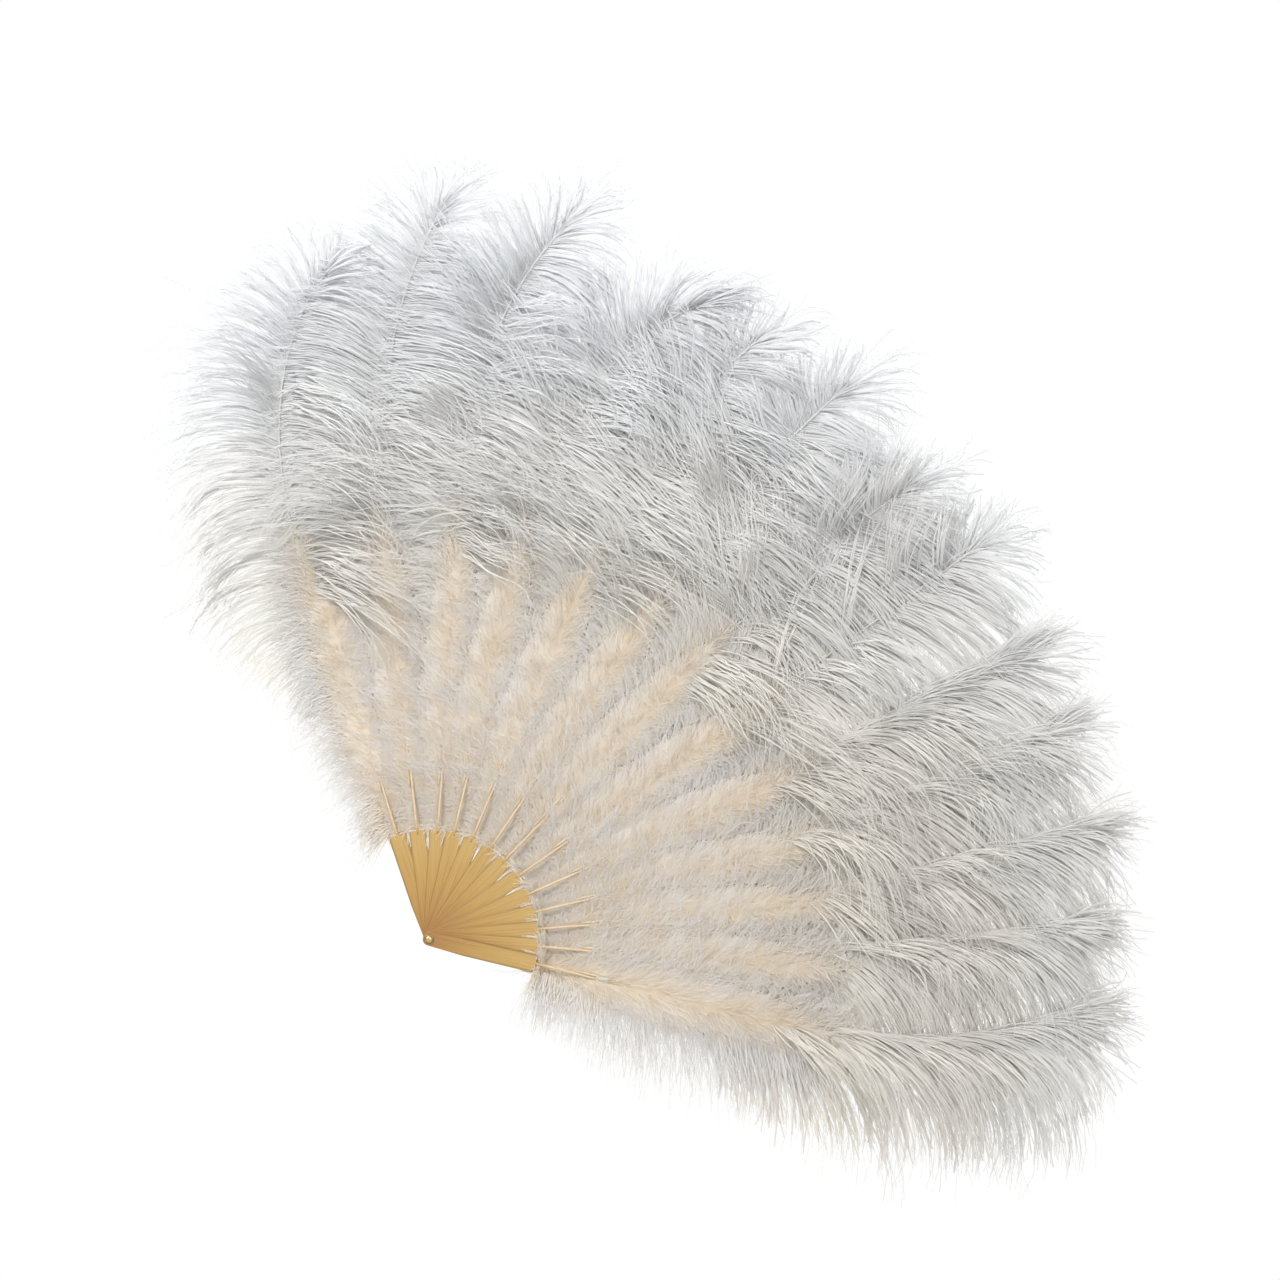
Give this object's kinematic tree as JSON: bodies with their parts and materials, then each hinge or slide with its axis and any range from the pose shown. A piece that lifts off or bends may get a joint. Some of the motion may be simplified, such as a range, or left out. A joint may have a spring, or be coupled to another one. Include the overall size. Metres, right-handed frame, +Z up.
{
  "type": "folding feather fan",
  "caption": "Large folding hand fan of long ostrich plumes and short down on slim bamboo staves that turn on one rivet.",
  "frame": {"origin": "on the rivet's axis, at the middle of the stack of staves", "axes": "+Z up, +Y from the front of the open fan to its back along the rivet, +X to the right as seen from the front"},
  "size_m": [1.0149, 0.1108, 1.0404],
  "materials": {
    "bamboo": "satin split bamboo",
    "ostrich_plume": "soft white barbs",
    "down": "cream fluff",
    "thread": "matt cotton thread",
    "brass": "aged brass",
    "bronze": "dark bronzed"
  },
  "bodies": {
    "blade_01": {"front_guard": "bamboo", "plume_01": "ostrich_plume", "down_01": "down", "binding_01": "thread", "pivot_rivet": "brass", "front_washer": "bronze", "rear_washer": "bronze"},
    "blade_02": {"stave_02": "bamboo", "plume_02": "ostrich_plume", "down_02": "down", "binding_02": "thread"},
    "blade_03": {"stave_03": "bamboo", "plume_03": "ostrich_plume", "down_03": "down", "binding_03": "thread"},
    "blade_04": {"stave_04": "bamboo", "plume_04": "ostrich_plume", "down_04": "down", "binding_04": "thread"},
    "blade_05": {"stave_05": "bamboo", "plume_05": "ostrich_plume", "down_05": "down", "binding_05": "thread"},
    "blade_06": {"stave_06": "bamboo", "plume_06": "ostrich_plume", "down_06": "down", "binding_06": "thread"},
    "blade_07": {"stave_07": "bamboo", "plume_07": "ostrich_plume", "down_07": "down", "binding_07": "thread"},
    "blade_08": {"stave_08": "bamboo", "plume_08": "ostrich_plume", "down_08": "down", "binding_08": "thread"},
    "blade_09": {"stave_09": "bamboo", "plume_09": "ostrich_plume", "down_09": "down", "binding_09": "thread"},
    "blade_10": {"stave_10": "bamboo", "plume_10": "ostrich_plume", "down_10": "down", "binding_10": "thread"},
    "blade_11": {"stave_11": "bamboo", "plume_11": "ostrich_plume", "down_11": "down", "binding_11": "thread"},
    "blade_12": {"stave_12": "bamboo", "plume_12": "ostrich_plume", "down_12": "down", "binding_12": "thread"},
    "blade_13": {"rear_guard": "bamboo", "plume_13": "ostrich_plume", "down_13": "down", "binding_13": "thread"}
  },
  "joints": [
    {"name": "fan_fold", "type": "hinge", "parent": "blade_01", "child": "blade_13", "pos_m": [0, 0, 0], "axis": [0, 1, 0], "range_deg": [0, 121]},
    {"name": "stave_02_fold", "type": "hinge", "parent": "blade_01", "child": "blade_02", "pos_m": [0, 0, 0], "axis": [0, 1, 0], "range_deg": [0, 8.95]},
    {"name": "stave_03_fold", "type": "hinge", "parent": "blade_01", "child": "blade_03", "pos_m": [0, 0, 0], "axis": [0, 1, 0], "range_deg": [0, 18.03]},
    {"name": "stave_04_fold", "type": "hinge", "parent": "blade_01", "child": "blade_04", "pos_m": [0, 0, 0], "axis": [0, 1, 0], "range_deg": [0, 26.98]},
    {"name": "stave_05_fold", "type": "hinge", "parent": "blade_01", "child": "blade_05", "pos_m": [0, 0, 0], "axis": [0, 1, 0], "range_deg": [0, 37.03]},
    {"name": "stave_06_fold", "type": "hinge", "parent": "blade_01", "child": "blade_06", "pos_m": [0, 0, 0], "axis": [0, 1, 0], "range_deg": [0, 48.04]},
    {"name": "stave_07_fold", "type": "hinge", "parent": "blade_01", "child": "blade_07", "pos_m": [0, 0, 0], "axis": [0, 1, 0], "range_deg": [0, 59.05]},
    {"name": "stave_08_fold", "type": "hinge", "parent": "blade_01", "child": "blade_08", "pos_m": [0, 0, 0], "axis": [0, 1, 0], "range_deg": [0, 68.97]},
    {"name": "stave_09_fold", "type": "hinge", "parent": "blade_01", "child": "blade_09", "pos_m": [0, 0, 0], "axis": [0, 1, 0], "range_deg": [0, 79.98]},
    {"name": "stave_10_fold", "type": "hinge", "parent": "blade_01", "child": "blade_10", "pos_m": [0, 0, 0], "axis": [0, 1, 0], "range_deg": [0, 90.02]},
    {"name": "stave_11_fold", "type": "hinge", "parent": "blade_01", "child": "blade_11", "pos_m": [0, 0, 0], "axis": [0, 1, 0], "range_deg": [0, 98.98]},
    {"name": "stave_12_fold", "type": "hinge", "parent": "blade_01", "child": "blade_12", "pos_m": [0, 0, 0], "axis": [0, 1, 0], "range_deg": [0, 109.99]}
  ],
  "couplings": [
    {"joint": "stave_02_fold", "follows": "fan_fold", "ratio": 0.074},
    {"joint": "stave_03_fold", "follows": "fan_fold", "ratio": 0.149},
    {"joint": "stave_04_fold", "follows": "fan_fold", "ratio": 0.223},
    {"joint": "stave_05_fold", "follows": "fan_fold", "ratio": 0.306},
    {"joint": "stave_06_fold", "follows": "fan_fold", "ratio": 0.397},
    {"joint": "stave_07_fold", "follows": "fan_fold", "ratio": 0.488},
    {"joint": "stave_08_fold", "follows": "fan_fold", "ratio": 0.57},
    {"joint": "stave_09_fold", "follows": "fan_fold", "ratio": 0.661},
    {"joint": "stave_10_fold", "follows": "fan_fold", "ratio": 0.744},
    {"joint": "stave_11_fold", "follows": "fan_fold", "ratio": 0.818},
    {"joint": "stave_12_fold", "follows": "fan_fold", "ratio": 0.909}
  ]
}
